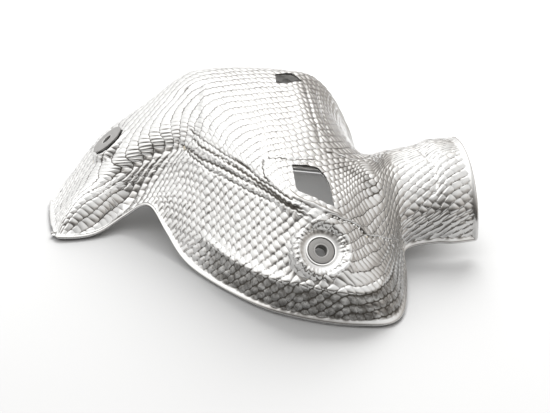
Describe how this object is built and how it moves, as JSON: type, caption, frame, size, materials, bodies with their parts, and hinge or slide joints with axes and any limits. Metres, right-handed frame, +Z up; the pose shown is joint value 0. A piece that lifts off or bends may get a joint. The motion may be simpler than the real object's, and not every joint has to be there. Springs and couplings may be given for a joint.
{
  "type": "exhaust manifold heat shield",
  "caption": "Stamped double-skin aluminium heat shield with embossed surface, rolled hem, half-tube collar, window and floating bolt points.",
  "frame": {"origin": "under the middle of the bounding box, at the height the shield rests on", "axes": "+X along the shield towards the collar, +Y towards the engine, +Z up"},
  "size_m": [0.3325, 0.2322, 0.0986],
  "materials": {
    "embossed_skin": "embossed bright mill finish, slightly sooty in the folds",
    "inner_skin": "embossed, dull",
    "insulation": "needled mineral fibre mat",
    "clamp_ring": "plain stamped",
    "wire_mesh": "knitted stainless wire, pressed",
    "washer_steel": "matt, faintly rough",
    "sleeve_steel": "turned, matt"
  },
  "bodies": {
    "shield": {"outer_skin": "embossed_skin", "inner_skin": "inner_skin", "wing_pad": "insulation", "dome_pad": "insulation", "skirt_pad": "insulation", "collar_pad": "insulation", "front_clamp_ring": "clamp_ring", "wing_clamp_ring": "clamp_ring", "rear_clamp_ring": "clamp_ring"},
    "front_float": {"front_cushion": "wire_mesh"},
    "front_bush": {"front_sleeve": "sleeve_steel", "front_face_washer": "washer_steel", "front_back_washer": "washer_steel"},
    "wing_float": {"wing_cushion": "wire_mesh"},
    "wing_bush": {"wing_sleeve": "sleeve_steel", "wing_face_washer": "washer_steel", "wing_back_washer": "washer_steel"},
    "rear_float": {"rear_cushion": "wire_mesh"},
    "rear_bush": {"rear_sleeve": "sleeve_steel", "rear_face_washer": "washer_steel", "rear_back_washer": "washer_steel"}
  },
  "joints": [
    {"name": "front_slide", "type": "slide", "parent": "shield", "child": "front_float", "axis": [0.9517, 0.307, 0], "range_m": [-0.0005, 0.0005]},
    {"name": "front_spin", "type": "hinge", "parent": "front_float", "child": "front_bush", "pos_m": [0.046, -0.089, 0.04549], "axis": [0.1998, -0.6194, 0.7592], "continuous": true},
    {"name": "wing_slide", "type": "slide", "parent": "shield", "child": "wing_float", "axis": [0, -1, 0], "range_m": [-0.0005, 0.0005]},
    {"name": "wing_spin", "type": "hinge", "parent": "wing_float", "child": "wing_bush", "pos_m": [-0.12, 0.076, 0.04699], "axis": [-0.6198, 0, 0.7848], "continuous": true},
    {"name": "rear_slide", "type": "slide", "parent": "shield", "child": "rear_float", "axis": [-1, 0, 0], "range_m": [-0.0005, 0.0005]},
    {"name": "rear_spin", "type": "hinge", "parent": "rear_float", "child": "rear_bush", "pos_m": [0.014, 0.1135, 0.02449], "axis": [0, 1, 0], "continuous": true}
  ]
}
